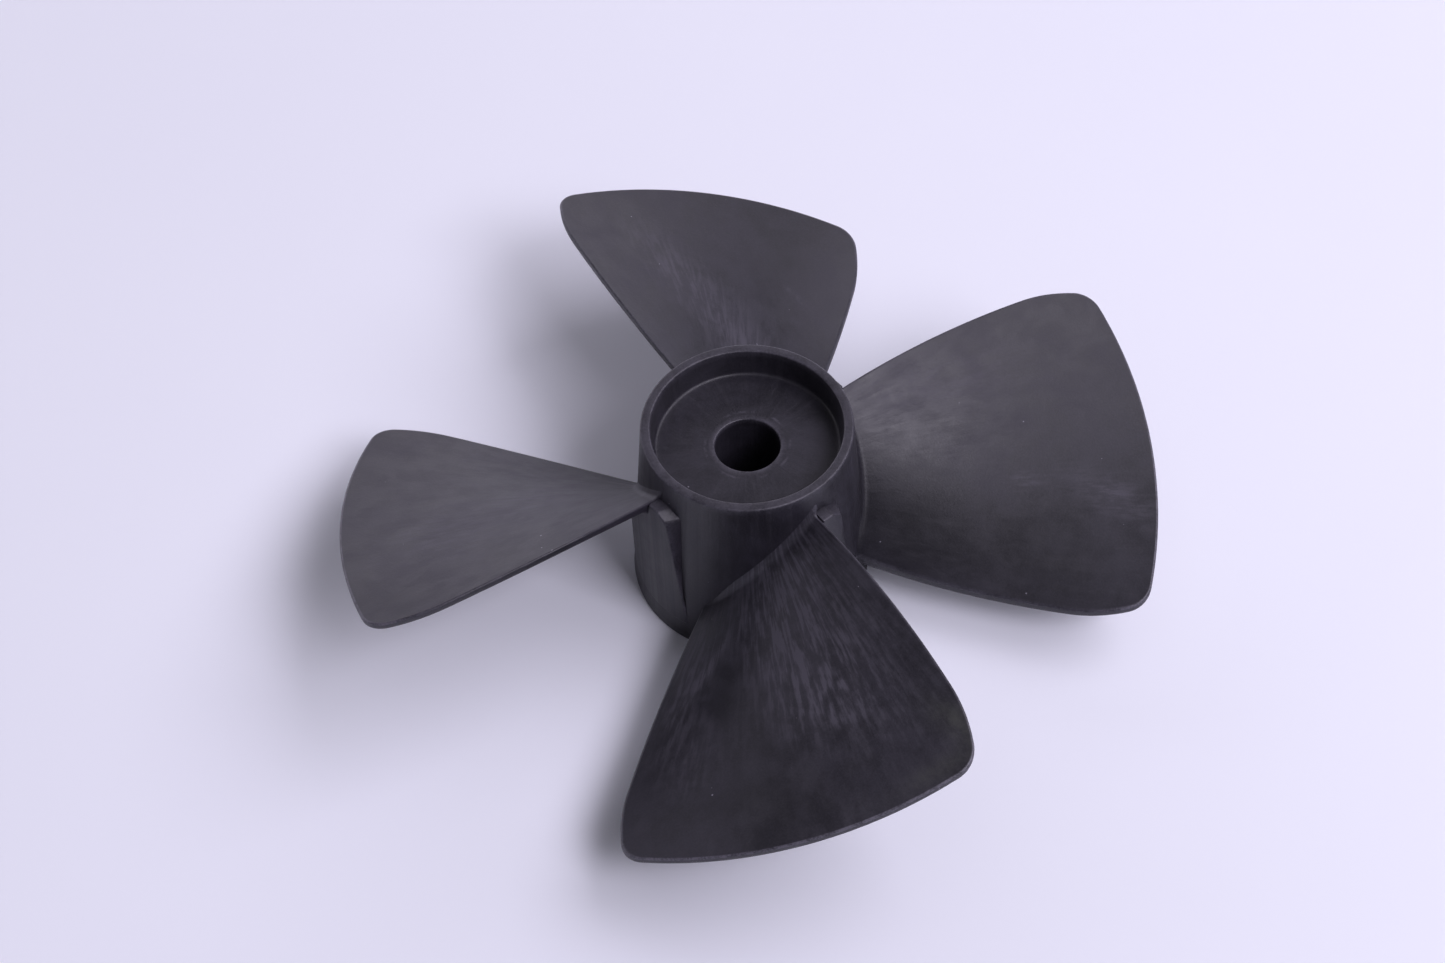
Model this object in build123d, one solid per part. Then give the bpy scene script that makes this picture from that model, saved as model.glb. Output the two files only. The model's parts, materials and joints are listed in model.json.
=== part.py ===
from build123d import *

import os
from math import atan2, cos, degrees, hypot, radians, sin, sqrt

# Four-bladed right-hand propeller of a boat's tunnel thruster, moulded in black plastic.
# Millimetres. +Z runs up the shaft axis, from the gear leg's side to the nut's side. The origin
# is on that axis, in the plane of the hub's lower end. Blade 1 points along +X.

# Hub: a drafted barrel with a nut recess on top and a cored underside.
HUB_HEIGHT = 48.0
RIM_RADIUS = 22.85
BASE_RADIUS = 26.83
RIM_INNER_RADIUS = 20.75
RIM_CHAMFER = 0.35
RECESS_DEPTH = 6.8
RECESS_FLOOR_RADIUS = 20.15
WEB_THICKNESS = 3.2
BASE_WALL = 2.6

# Shaft boss and its stiffening ribs, inside the barrel.
BORE_RADIUS = 7.1
BOSS_TOP_RADIUS = 11.4
BOSS_END_RADIUS = 10.8
BOSS_END_HEIGHT = 8.0
PIN_SLOT_WIDTH = 5.2
PIN_SLOT_DEPTH = 6.0
RIB_COUNT = 4
RIB_THICKNESS = 2.4
RIB_END_HEIGHT = 10.5
RIB_FIRST_ANGLE = 45.0

# Blades: a helicoid cut to a fan-shaped outline.
BLADE_COUNT = 4
TIP_RADIUS = 90.0
MIDDLE_HEIGHT = 27.1
ROOT_PITCH = 25.5
PITCH_RISE = 15.4
PITCH_FALL = 13.5
CHORD_CAMBER = 1.85
EDGE_THICKNESS = 1.8
ROOT_MIDDLE_THICKNESS = 3.4

# Blade outline in plan: one side edge, which the other side mirrors.
OUTLINE_ROOT_RADIUS = 22.16
ROOT_HALF_ANGLE = 30.37
EDGE_HEADING = 29.6
EDGE_ARC_RADIUS = 334.5
EDGE_ARC_LENGTH = 51.8
SHOULDER_RADIUS = 36.6
CORNER_RADIUS = 5.9

# Root pad under each blade: the straight-sided part of the hub that the lower mould half makes.
PAD_RADIUS = 26.4
PAD_LOW_ANGLE = 29.4
LEDGE_DROP = 6.6
LEDGE_END_ANGLE = 37.0
RAMP_SLOPE = 25.0
PAD_STEP_ANGLE = 46.7
STEP_TOP_SKEW = 3.1
STEP_FOOT_SKEW = 2.3
STEP_TOP_DROP = 11.4
STEP_FOOT_DROP = 34.3

# Sampling of the blade's curved surfaces, which run a little past the outline that trims them.
SECTION_COUNT = 9
SECTION_POINTS = 11
SURFACE_HALF_WIDTH = 50.0
SURFACE_REACH = 0.75
OVERRUN = 1.0

# Cutting shapes are longer than any piece, and the pad's sector runs past its parting step.
CUT_LENGTH = 100.0
SECTOR_MARGIN = 10.0


def polar(radius, angle, height=0.0):
    """The point at a radius, an angle in degrees from +X and a height."""
    turn = radians(angle)
    return Vector(radius * cos(turn), radius * sin(turn), height)


def hub_radius(height):
    """Outer radius of the drafted barrel at a height."""
    return BASE_RADIUS + (RIM_RADIUS - BASE_RADIUS) * height / HUB_HEIGHT


def hub_envelope():
    """The barrel's outer cone as a full solid."""
    return Cone(BASE_RADIUS, RIM_RADIUS, HUB_HEIGHT, align=(Align.CENTER, Align.CENTER, Align.MIN))


def revolved(points):
    """A ring turned about the shaft axis from a closed profile of (radius, height) points."""
    profile = make_face(Plane.XZ * Polyline(*points, close=True))
    return revolve(profile, Axis.Z, 360)


def recess_floor_height():
    """Height of the floor that the propeller's nut seats on."""
    return HUB_HEIGHT - RECESS_DEPTH


def web_underside_height():
    """Height of the ceiling of the cored underside."""
    return recess_floor_height() - WEB_THICKNESS


def hub_barrel():
    """Outer wall of the hub, with a lightly broken rim, a drafted recess and a drafted core."""
    chamfer_top = HUB_HEIGHT - RIM_CHAMFER
    return revolved(
        [
            (BASE_RADIUS, 0),
            (hub_radius(chamfer_top), chamfer_top),
            (RIM_RADIUS - RIM_CHAMFER, HUB_HEIGHT),
            (RIM_INNER_RADIUS + RIM_CHAMFER, HUB_HEIGHT),
            (RIM_INNER_RADIUS, chamfer_top),
            (RECESS_FLOOR_RADIUS, recess_floor_height()),
            (RECESS_FLOOR_RADIUS, web_underside_height()),
            (BASE_RADIUS - BASE_WALL, 0),
        ]
    )


def boss_radius(height):
    """Outer radius of the drafted boss at a height."""
    run = (height - BOSS_END_HEIGHT) / (recess_floor_height() - BOSS_END_HEIGHT)
    return BOSS_END_RADIUS + (BOSS_TOP_RADIUS - BOSS_END_RADIUS) * run


def hub_web():
    """Floor of the nut recess, which joins the barrel to the boss."""
    top = recess_floor_height()
    bottom = web_underside_height()
    return revolved(
        [
            (boss_radius(bottom), bottom),
            (RECESS_FLOOR_RADIUS, bottom),
            (RECESS_FLOOR_RADIUS, top),
            (boss_radius(top), top),
        ]
    )


def shaft_boss():
    """Tube round the shaft, with a slot across its lower end for the drive pin."""
    tube = revolved(
        [
            (BORE_RADIUS, BOSS_END_HEIGHT),
            (BOSS_END_RADIUS, BOSS_END_HEIGHT),
            (BOSS_TOP_RADIUS, recess_floor_height()),
            (BORE_RADIUS, recess_floor_height()),
        ]
    )
    slot = Pos(0, 0, BOSS_END_HEIGHT) * Box(CUT_LENGTH, PIN_SLOT_WIDTH, 2 * PIN_SLOT_DEPTH)
    return tube - slot


def core_radius(height):
    """Inner radius of the barrel's cored underside at a height."""
    base = BASE_RADIUS - BASE_WALL
    return base + (RECESS_FLOOR_RADIUS - base) * height / web_underside_height()


def hub_rib(index):
    """One radial wall between the boss and the barrel."""
    top = web_underside_height()
    space = revolved(
        [
            (boss_radius(RIB_END_HEIGHT), RIB_END_HEIGHT),
            (core_radius(RIB_END_HEIGHT), RIB_END_HEIGHT),
            (core_radius(top), top),
            (boss_radius(top), top),
        ]
    )
    plate = Box(
        2 * BASE_RADIUS, RIB_THICKNESS, HUB_HEIGHT, align=(Align.MIN, Align.CENTER, Align.MIN)
    )
    angle = RIB_FIRST_ANGLE + 360 * index / RIB_COUNT
    return Rot(0, 0, angle) * (plate & space)


def span(radius):
    """Fraction of the way from the rim's radius to the tip."""
    return (radius - RIM_RADIUS) / (TIP_RADIUS - RIM_RADIUS)


def pitch(radius):
    """Rise per radian of turn."""
    return ROOT_PITCH + PITCH_RISE * span(radius) - PITCH_FALL * span(radius) ** 2


def blade_middle(x, y):
    """Height of the blade's middle surface over a point in plan."""
    turn = atan2(y, x)
    return MIDDLE_HEIGHT + pitch(hypot(x, y)) * turn - CHORD_CAMBER * turn**2


def half_rise(x, y):
    """Half the blade's thickness, measured straight up."""
    radius = hypot(x, y)
    across = atan2(y, x) / radians(ROOT_HALF_ANGLE)
    swell = (ROOT_MIDDLE_THICKNESS - EDGE_THICKNESS) * (1 - span(radius)) * (1 - across**2)
    lean = sqrt(1 + (pitch(radius) / radius) ** 2)
    return (EDGE_THICKNESS + swell) * lean / 2


def helical_slab(lower, upper):
    """Solid between two heights given over plan points, lofted along the blade."""
    inner = OUTLINE_ROOT_RADIUS * cos(radians(ROOT_HALF_ANGLE)) - OVERRUN
    outer = TIP_RADIUS + OVERRUN
    sections = []
    for step in range(SECTION_COUNT):
        x = inner + (outer - inner) * step / (SECTION_COUNT - 1)
        reach = min(SURFACE_HALF_WIDTH, x * SURFACE_REACH)
        across = [reach * (2 * k / (SECTION_POINTS - 1) - 1) for k in range(SECTION_POINTS)]
        low = Spline(*[(x, y, lower(x, y)) for y in across])
        high = Spline(*[(x, y, upper(x, y)) for y in reversed(across)])
        sections.append(Wire([low, Line(low @ 1, high @ 0), high, Line(high @ 1, low @ 0)]))
    return Solid.make_loft(sections)


def edge_arcs():
    """Start, middle and end of the three arcs of one side edge, from the root to the tip."""
    heading = radians(EDGE_HEADING)
    root = polar(OUTLINE_ROOT_RADIUS, ROOT_HALF_ANGLE)
    inward = Vector(sin(heading), -cos(heading))
    long_centre = root + inward * EDGE_ARC_RADIUS
    turned = EDGE_ARC_LENGTH / EDGE_ARC_RADIUS
    long_end = long_centre + polar(EDGE_ARC_RADIUS, EDGE_HEADING + 90 - degrees(turned))
    long_middle = long_centre + polar(EDGE_ARC_RADIUS, EDGE_HEADING + 90 - degrees(turned / 2))
    shoulder_centre = long_end + (long_centre - long_end) * (SHOULDER_RADIUS / EDGE_ARC_RADIUS)
    corner_centre = crossing(
        shoulder_centre, SHOULDER_RADIUS - CORNER_RADIUS, TIP_RADIUS - CORNER_RADIUS
    )
    out_of_shoulder = (corner_centre - shoulder_centre).normalized()
    shoulder_end = shoulder_centre + out_of_shoulder * SHOULDER_RADIUS
    corner_end = corner_centre.normalized() * TIP_RADIUS
    return [
        (root, long_middle, long_end),
        (long_end, between(shoulder_centre, long_end, shoulder_end), shoulder_end),
        (shoulder_end, between(corner_centre, shoulder_end, corner_end), corner_end),
    ]


def crossing(centre, radius, axis_radius):
    """Upper crossing of a circle with a circle about the shaft axis."""
    gap = centre.length
    along = (axis_radius**2 - radius**2 + gap**2) / (2 * gap)
    aside = sqrt(axis_radius**2 - along**2)
    ahead = centre.normalized()
    return ahead * along + Vector(-ahead.Y, ahead.X) * aside


def between(centre, start, end):
    """Middle of the shorter arc about a centre."""
    halfway = ((start - centre) + (end - centre)).normalized()
    return centre + halfway * (start - centre).length


def mirrored(point):
    """The point on the other side of the blade's centreline."""
    return Vector(point.X, -point.Y, 0)


def blade_outline():
    """The blade's fan shape in plan, closed by a chord inside the hub."""
    arcs = edge_arcs()
    edges = [ThreePointArc(*arc) for arc in arcs]
    edges += [ThreePointArc(*[mirrored(point) for point in arc]) for arc in arcs]
    tip = arcs[-1][-1]
    edges.append(ThreePointArc(tip, (TIP_RADIUS, 0), mirrored(tip)))
    root = arcs[0][0]
    edges.append(Line(root, mirrored(root)))
    return make_face(Curve(edges))


def blade_prism():
    """The blade's outline as an upright prism that passes right through the hub's height."""
    return Pos(0, 0, -CUT_LENGTH / 2) * extrude(blade_outline(), 2 * CUT_LENGTH)


def blade():
    """One blade, from the barrel's surface to the tip."""
    slab = helical_slab(
        lambda x, y: blade_middle(x, y) - half_rise(x, y),
        lambda x, y: blade_middle(x, y) + half_rise(x, y),
    )
    return (slab & blade_prism()) - hub_envelope()


def plane_through(first, second, third):
    """Plane whose normal follows the right hand from the first to the third point."""
    normal = (second - first).cross(third - first)
    return Plane(origin=first, z_dir=normal)


def pad_blank():
    """Ring segment under one blade, ended by the parting step and the ramp above it."""
    foot = HUB_HEIGHT * (BASE_RADIUS - PAD_RADIUS) / (BASE_RADIUS - RIM_RADIUS)
    ledge = HUB_HEIGHT - LEDGE_DROP
    ring = Pos(0, 0, foot) * Cylinder(
        PAD_RADIUS, ledge - foot, align=(Align.CENTER, Align.CENTER, Align.MIN)
    )
    low_end = polar(CUT_LENGTH, -PAD_LOW_ANGLE)
    high_end = polar(CUT_LENGTH, PAD_STEP_ANGLE + SECTOR_MARGIN)
    sector = make_face(Polyline((0, 0), low_end, (CUT_LENGTH, 0), high_end, close=True))
    blank = ring & extrude(sector, HUB_HEIGHT)
    turn = radians(LEDGE_END_ANGLE)
    slope = radians(RAMP_SLOPE)
    ramp_normal = Vector(-sin(turn) * sin(slope), cos(turn) * sin(slope), cos(slope))
    ramp = Plane(origin=(0, 0, ledge), z_dir=ramp_normal)
    blank = split(blank, bisect_by=ramp, keep=Keep.BOTTOM)
    step_top = HUB_HEIGHT - STEP_TOP_DROP
    step_foot = HUB_HEIGHT - STEP_FOOT_DROP
    step = plane_through(
        polar(hub_radius(step_top), PAD_STEP_ANGLE, step_top),
        polar(PAD_RADIUS, PAD_STEP_ANGLE - STEP_TOP_SKEW, step_top),
        polar(PAD_RADIUS, PAD_STEP_ANGLE + STEP_FOOT_SKEW, step_foot),
    )
    return split(blank, bisect_by=step, keep=Keep.BOTTOM)


def root_pad(blade_solid):
    """The pad under one blade: its blank less the barrel, the blade and all that is above it."""
    above = helical_slab(blade_middle, lambda x, y: CUT_LENGTH) & blade_prism()
    return pad_blank() - hub_envelope() - blade_solid - above


def write(name, shape):
    """Exports one piece under its node name."""
    export_step(shape, f"parts/{name}.step")


def main():
    """Builds every piece and writes it to parts/."""
    os.makedirs("parts", exist_ok=True)
    write("hub_barrel", hub_barrel())
    write("hub_web", hub_web())
    write("shaft_boss", shaft_boss())
    for index in range(RIB_COUNT):
        write(f"hub_rib_{index + 1}", hub_rib(index))
    first_blade = blade()
    first_pad = root_pad(first_blade)
    for index in range(BLADE_COUNT):
        place = Rot(0, 0, 360 * index / BLADE_COUNT)
        write(f"blade_{index + 1}", place * first_blade)
        write(f"root_pad_{index + 1}", place * first_pad)


main()
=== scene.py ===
import json
from math import cos, pi, radians, sin, sqrt

import bpy
import numpy as np
from mathutils import Matrix, Vector


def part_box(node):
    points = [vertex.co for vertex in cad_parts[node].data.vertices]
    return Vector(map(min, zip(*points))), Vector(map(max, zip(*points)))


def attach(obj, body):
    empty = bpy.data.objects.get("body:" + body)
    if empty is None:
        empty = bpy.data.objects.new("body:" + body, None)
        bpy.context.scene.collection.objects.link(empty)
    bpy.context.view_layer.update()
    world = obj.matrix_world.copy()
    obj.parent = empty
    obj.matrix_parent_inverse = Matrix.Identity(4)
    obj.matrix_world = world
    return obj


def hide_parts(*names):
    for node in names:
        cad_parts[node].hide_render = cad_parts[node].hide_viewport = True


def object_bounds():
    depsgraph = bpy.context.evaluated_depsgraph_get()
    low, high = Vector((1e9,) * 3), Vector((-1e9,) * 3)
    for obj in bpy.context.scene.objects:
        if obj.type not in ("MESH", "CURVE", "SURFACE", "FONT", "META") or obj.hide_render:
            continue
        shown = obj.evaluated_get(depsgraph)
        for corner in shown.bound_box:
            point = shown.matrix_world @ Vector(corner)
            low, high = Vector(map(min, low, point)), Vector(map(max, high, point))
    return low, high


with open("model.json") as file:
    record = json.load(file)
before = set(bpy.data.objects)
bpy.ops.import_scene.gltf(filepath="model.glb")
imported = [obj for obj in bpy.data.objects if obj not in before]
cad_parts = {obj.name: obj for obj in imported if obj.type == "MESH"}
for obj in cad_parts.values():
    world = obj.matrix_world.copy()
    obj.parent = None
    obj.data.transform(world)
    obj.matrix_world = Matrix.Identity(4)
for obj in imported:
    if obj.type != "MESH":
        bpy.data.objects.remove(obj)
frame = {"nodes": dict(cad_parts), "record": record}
cad_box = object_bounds()

# Sizes are millimetres and angles are degrees until a mesh is made, where MM turns them into metres.
MM = 0.001
mounts = {mount["name"]: mount for mount in frame["record"]["mounts"]}

# Hub, from the frame where the frame gives it.
HUB_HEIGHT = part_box("hub_barrel")[1][2] / MM
BASE_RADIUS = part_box("hub_barrel")[1][0] / MM
RIM_RADIUS = 22.85
RIM_INNER_RADIUS = 20.75
RIM_OUTER_ROUND = 0.45
RIM_INNER_ROUND = 0.4
FLOOR_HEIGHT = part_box("hub_web")[1][2] / MM
WEB_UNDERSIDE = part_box("hub_web")[0][2] / MM
FLOOR_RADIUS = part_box("hub_web")[1][0] / MM
FLOOR_FILLET = 0.8
CORE_FILLET = 1.2
BASE_WALL = 2.6
BASE_ROUND = 0.4
LATHE_STEPS = 360
LATHE_WEAR = 0.45
ROUND_STEPS = 5
SHARP_ANGLE = 38.0
SEAM_FLANGE = 1.6
BARREL_STEP = 1.5
FLOOR_STEP = 1.0
BOSS_STEP = 1.2
BARREL_WEAR_REACH = 0.6
BOSS_WEAR_REACH = 0.8
FULL_WEAR_SHARE = 0.25

# Shaft boss and ribs.
BORE_RADIUS = mounts["shaft_bore"]["dims"]["r_mm"]
BORE_LIP_ROUND = 0.35
BOSS_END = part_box("shaft_boss")[0][2] / MM
BOSS_TOP_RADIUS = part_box("shaft_boss")[1][0] / MM
BOSS_END_RADIUS = 10.8
BOSS_ROUND = 0.4
PIN_SLOT_WIDTH = 5.2
PIN_SLOT_DEPTH = 6.0
PIN_SLOT_ROUND = 0.6
PIN_SLOT_ROUND_STEPS = 4
RIB_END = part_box("hub_rib_1")[0][2] / MM
RIB_THICKNESS = 2.4
RIB_FIRST_ANGLE = 45.0
RIB_COUNT = 4
RIB_ROUND = 0.5
RIB_SUNK = 0.6
RIB_PROFILE_POINTS = 22
RIB_LENGTH_POINTS = 30
RIB_WEAR = 0.5
RIB_WEAR_REACH = 1.0

# Blades.
BLADE_COUNT = 4
TIP_RADIUS = cad_box[1][0] / MM
MIDDLE_HEIGHT = 27.1
ROOT_PITCH = 25.5
PITCH_RISE = 15.4
PITCH_FALL = 13.5
CHORD_CAMBER = 1.85
EDGE_THICKNESS = 1.8
ROOT_MIDDLE_THICKNESS = 3.4
EDGE_ROUND = 0.5
ROOT_FILLET = 1.5

# The root fillet grows between these shares of the half chord, from the low corner.
FILLET_FADE = (-1.0, -0.45)

# How much of the root fillet widens the low (-1) and the high (1) side edge.
EDGE_FLARE = {-1: 0.1, 1: 0.5}
OUTLINE_ROOT_RADIUS = 22.16
ROOT_HALF_ANGLE = 30.37
EDGE_HEADING = 29.6
EDGE_ARC_RADIUS = 334.5
EDGE_ARC_LENGTH = 51.8
SHOULDER_RADIUS = 36.6
CORNER_RADIUS = 5.9
EDGE_ARC_POINTS = 400
SHOULDER_POINTS = 18
CORNER_POINTS = 14
CHORD_COLUMNS = 84
CHORD_CROWDING = 0.86
ROW_STEP = 1.0
CROSSING_PASSES = 8

# Distances of the first rows from the barrel, close together where the root fillet curves.
ROOT_GAPS = [-1.2, -0.4, 0, 0.08, 0.18, 0.32, 0.5, 0.72, 1.0, 1.35, 1.8, 2.4, 3.1, 4.0, 5.0, 6.0]

# Rows stop following the hub between these distances from it.
FOLLOW_FADE = (1.5, 12.0)

# Wear of a blade's arrises, which is full only near the tip.
FACE_BORDER_WEAR = 0.35
UPPER_ARRIS_WEAR = 1.0
OTHER_EDGE_WEAR = 0.1
SIDE_EDGE_WEAR = 0.3
TIP_WEAR_START = 12.0
TIP_WEAR_FULL = 3.0

# Scuffs, with painted sheen and painted shade among them: radius, angle from the centreline, half length,
# half width, heading from radial, strength.
# A negative strength makes a darker, glossier patch; on blade 1 these are painted shade.
SCUFFS_SHEEN_AND_SHADE = {
    1: [
        # Scuff along the root's high side, partly painted sheen where the root catches the light.
        (44.0, 20.0, 22.0, 6.0, -12.0, 0.35),
        (61.0, -5.5, 5.0, 1.6, 4.0, 0.55),
        (80.0, -8.0, 9.0, 3.5, -25.0, 0.60),
        # These two are painted shade on the blade's low side, where little light reaches it.
        (34.0, -17.0, 16.0, 8.0, 0.0, -0.70),
        (66.0, -19.0, 16.0, 7.0, 0.0, -0.40),
    ],
    2: [
        (58.0, 8.0, 19.0, 6.5, 24.0, 0.55),
        (64.0, -16.0, 4.0, 1.0, 60.0, 0.60),
        (40.0, -6.0, 9.0, 6.0, 0.0, 0.30),
        (70.0, -14.0, 12.0, 8.0, 0.0, -0.30),
    ],
    3: [
        (66.0, 8.0, 15.0, 10.0, 10.0, 0.40),
        (46.0, -2.0, 14.0, 7.0, 0.0, 0.45),
        (80.0, 21.0, 5.0, 4.0, 0.0, -0.30),
    ],
    4: [
        (41.0, 3.0, 18.0, 9.0, 10.0, 0.62),
        (59.0, 8.0, 13.0, 8.0, 20.0, 0.50),
        (30.0, 8.0, 12.0, 9.0, 0.0, 0.50),
        (52.0, 12.0, 26.0, 15.0, 10.0, 0.35),
        (43.5, -17.5, 6.5, 0.9, -20.0, 0.70),
        (45.0, -23.0, 15.0, 4.5, 0.0, 0.60),
        (66.0, -16.0, 12.0, 7.0, 0.0, 0.30),
        (78.0, -3.0, 8.0, 13.0, 0.0, -0.35),
        (52.0, -12.0, 9.0, 3.0, 0.0, -0.30),
    ],
}

# Olive grime, where the front blade's tip corner is worn.
GRIME = {
    4: [
        (82.0, 24.5, 7.0, 2.6, 18.0, 0.90),
        (87.0, 19.0, 2.2, 9.0, 0.0, 0.50),
    ],
}

# Root pads: paths as (angle from the blade's centreline, depth below the rim).
PAD_RADIUS = 26.4
PAD_ROUND = 0.4
PAD_FOOT_DEPTH = 42.7
PAD_LOW_ANGLE = 29.4
PAD_BLADE_ANGLE = 30.3
PAD_LEDGE_OUTER = [(30.9, 6.6), (36.9, 6.6), (41.4, 8.2)]
PAD_LEDGE_INNER = [(30.9, 6.6), (36.4, 6.6), (45.6, 8.1)]
PAD_STEP_OUTER = [(41.4, 8.2), (42.9, 9.7), (43.7, 12.6), (49.6, 34.4), (51.6, PAD_FOOT_DEPTH)]
PAD_STEP_INNER = [(45.6, 8.1), (46.6, 8.8), (46.9, 12.6), (48.5, 34.8), (49.5, PAD_FOOT_DEPTH)]
PAD_COLUMNS = (56, 26)
PAD_ROWS = 44
PAD_SUNK = 1.2
PAD_WEAR = 0.3
TINY = 1e-9

# Black plastic. Noise sizes are millimetres.
PLASTIC_DARK = (0.0122, 0.0112, 0.0158, 1)
PLASTIC_LIGHT = (0.0210, 0.0192, 0.0275, 1)
PLASTIC_DUST = (0.060, 0.056, 0.070, 1)
# Colour of the scuffs, which also paints blade 1's root sheen.
PLASTIC_SCUFF_AND_SHEEN = (0.072, 0.067, 0.086, 1)
# Colour of the darker patches, and of the painted shade on blade 1's low side.
PLASTIC_DARK_PATCH_AND_SHADE = (0.010, 0.0094, 0.012, 1)
PLASTIC_WORN = (0.155, 0.147, 0.18, 1)
PLASTIC_SPECK = (0.30, 0.29, 0.34, 1)
PLASTIC_GRIME = (0.050, 0.052, 0.046, 1)
PLASTIC_IOR = 1.5
ROUGHNESS_LOW = 0.42
ROUGHNESS_HIGH = 0.53
CLOUD_SIZE = 16.0
MOTTLE_SIZE = 4.0
GRAIN_SIZE = 0.45
WIDE_FLOW = 14
FINE_FLOW = 60
FLOW_LENGTHENING = 0.13
WASHER_RADIUS = 9.2
WASHER_LINE = (0.1, 0.45)
SPECK_STRENGTH = 0.55

# Specks: size of the cells, the largest speck's size and the share of cells that hold one.
LARGE_SPECKS = (6.5, 0.38, 0.16)
SMALL_SPECKS = (2.3, 0.22, 0.07)

# Bump of the plastic, and how much each pattern takes part in it.
BUMP_DEPTH = 0.05
BUMP_STRENGTH = 0.5
BUMP_WEIGHTS = {"grain": 0.5, "mottle": 1.3, "streak": 1.6, "thread": 0.35}

# Floor, in metres.
FLOOR_SIZE = 4
PAPER_SHADE = (0.88, 0.90, 0.96, 1)
PAPER_LIGHT = (0.91, 0.93, 0.98, 1)
PAPER_CLOUD_SIZE = 0.12
PAPER_ROUGHNESS = 0.75

# Lights: name, azimuth, elevation, distance, width and height in metres, and power in watts.
# Azimuths are seen from above, with the camera at -90 and the picture's right at 0.
LIGHTS = [
    ("key", -44, 48, 2.0, 0.85, 0.85, 22.5),
    ("side", 14, 50, 2.0, 1.4, 1.4, 18.5),
    ("back_fill", 48, 50, 1.4, 0.9, 0.9, 0.8),
    ("overhead", 90, 85, 1.4, 1.2, 1.2, 1.0),
    ("cove_back", 94, 16, 2.0, 2.4, 1.6, 18.0),
    ("cove_left", 150, 12, 1.8, 2.0, 1.0, 8.5),
]
LAMP_COLOUR = (0.90, 0.85, 1.0)
SKY_COLOUR = (0.93, 0.92, 1.0, 1)
SKY_STRENGTH = 0.07

# Camera: SPIN turns the part's own axes to the camera's, and pitch, yaw and roll are radians.
SPIN = 5.23
ELEVATION = 51.04
DISTANCE = 488.6
PITCH = 0.0243
YAW = -0.0114
ROLL = -0.0315
LENS = 57.05
SENSOR_WIDTH = 36.0
CLIP_START = 0.01


def hub_radius(height):
    """Outer radius of the drafted barrel at a height."""
    return BASE_RADIUS + (RIM_RADIUS - BASE_RADIUS) * height / HUB_HEIGHT


def core_radius(height):
    """Inner radius of the cored underside at a height."""
    base = BASE_RADIUS - BASE_WALL
    return base + (FLOOR_RADIUS - base) * height / WEB_UNDERSIDE


def boss_radius(height):
    """Outer radius of the boss at a height."""
    share = (height - BOSS_END) / (FLOOR_HEIGHT - BOSS_END)
    return BOSS_END_RADIUS + (BOSS_TOP_RADIUS - BOSS_END_RADIUS) * share


def smoothstep(low, high, value):
    """0 below low, 1 above high and an eased slope between them."""
    t = np.clip((value - low) / (high - low), 0, 1)
    return t * t * (3 - 2 * t)


def make_piece(name, points, faces, nodes, fields=None):
    """A smooth mesh piece from millimetre points, which rides on the root and replaces CAD nodes."""
    mesh = bpy.data.meshes.new(name)
    mesh.from_pydata((points * MM).tolist(), [], faces.tolist())
    for field, values in (fields or {}).items():
        layer = mesh.attributes.new(field, "FLOAT", "POINT")
        layer.data.foreach_set("value", np.asarray(values, dtype=np.float32))
    mesh.polygons.foreach_set("use_smooth", [True] * len(mesh.polygons))
    mesh.set_sharp_from_angle(angle=radians(SHARP_ANGLE))
    mesh.update()
    piece = bpy.data.objects.new(name, mesh)
    bpy.context.scene.collection.objects.link(piece)
    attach(piece, "root")
    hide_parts(*nodes)
    return piece


def grid_faces(index, flip=False):
    """Quads over a two-dimensional array of point numbers."""
    quads = np.stack([index[:-1, :-1], index[1:, :-1], index[1:, 1:], index[:-1, 1:]], axis=-1)
    quads = quads.reshape(-1, 4)
    return quads[:, ::-1] if flip else quads


def border(index):
    """The closed loop of point numbers round a two-dimensional array."""
    return np.concatenate([index[:-1, 0], index[-1, :-1], index[:0:-1, -1], index[0, :0:-1]])


def ring_faces(first, second):
    """Quads between two closed loops of point numbers."""
    return np.stack([first, np.roll(first, -1), np.roll(second, -1), second], axis=-1)


# ---------------------------------------------------------------- lathe work


def rounded(points, rounds):
    """A closed (radius, height) outline with each corner rounded by its own radius."""
    out = []
    count = len(points)
    for k, (corner, size) in enumerate(zip(points, rounds)):
        corner = np.array(corner, float)
        if size == 0:
            out.append(corner)
            continue
        back = np.array(points[k - 1], float) - corner
        ahead = np.array(points[(k + 1) % count], float) - corner
        back /= np.linalg.norm(back)
        ahead /= np.linalg.norm(ahead)
        half = np.arccos(np.clip(back @ ahead, -1, 1)) / 2
        middle = (back + ahead) / np.linalg.norm(back + ahead)
        centre = corner + middle * size / np.sin(half)
        start = corner + back * size / np.tan(half)
        end = corner + ahead * size / np.tan(half)
        sweep = pi - 2 * half
        for t in np.linspace(0, 1, ROUND_STEPS):
            from_start = (start - centre) * np.sin((1 - t) * sweep)
            from_end = (end - centre) * np.sin(t * sweep)
            out.append(centre + (from_start + from_end) / np.sin(sweep))
    return np.array(out)


def subdivided(outline, step):
    """The closed outline with points added so that no side is longer than step."""
    out = []
    for a, b in zip(outline, np.roll(outline, -1, axis=0)):
        pieces = max(1, int(np.ceil(np.linalg.norm(b - a) / step)))
        out += [a + (b - a) * k / pieces for k in range(pieces)]
    return np.array(out)


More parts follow.
